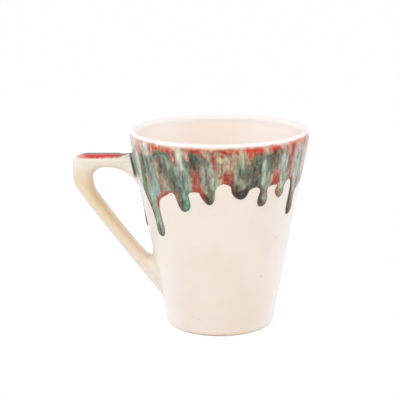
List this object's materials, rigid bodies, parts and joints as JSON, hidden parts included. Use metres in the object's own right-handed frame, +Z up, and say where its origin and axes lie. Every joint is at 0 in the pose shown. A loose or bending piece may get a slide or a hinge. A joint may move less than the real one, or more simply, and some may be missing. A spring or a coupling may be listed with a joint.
{
  "type": "pottery mug",
  "caption": "Tapering stoneware mug with an angular strap handle, cream glaze and a thick run glaze dripping below the lip.",
  "frame": {"origin": "on the cup's axis, in the plane of the foot", "axes": "+Z up along the cup's axis; the handle points to -X; +Y completes a right-handed frame, away from the viewer of the side view"},
  "size_m": [0.12, 0.0908, 0.1016],
  "materials": {
    "cream_glaze": "gloss cream glaze over stoneware, with faint specks; foot rubbed bare",
    "handle_glaze_coat": "gloss cream glaze, warmer and thinner over the strap",
    "run_glaze": "thick gloss run glaze, sea green to near black, breaking rust red at its edges",
    "stroke_glaze": "gloss brush stroke of the run glaze, rust red with a dark grey-green middle"
  },
  "bodies": {
    "root": {"cup_body": "cream_glaze", "handle": "handle_glaze_coat", "upper_joint": "handle_glaze_coat", "lower_joint": "handle_glaze_coat", "drip_glaze": "run_glaze", "handle_glaze": "stroke_glaze", "under_handle_run": "run_glaze"}
  },
  "joints": []
}
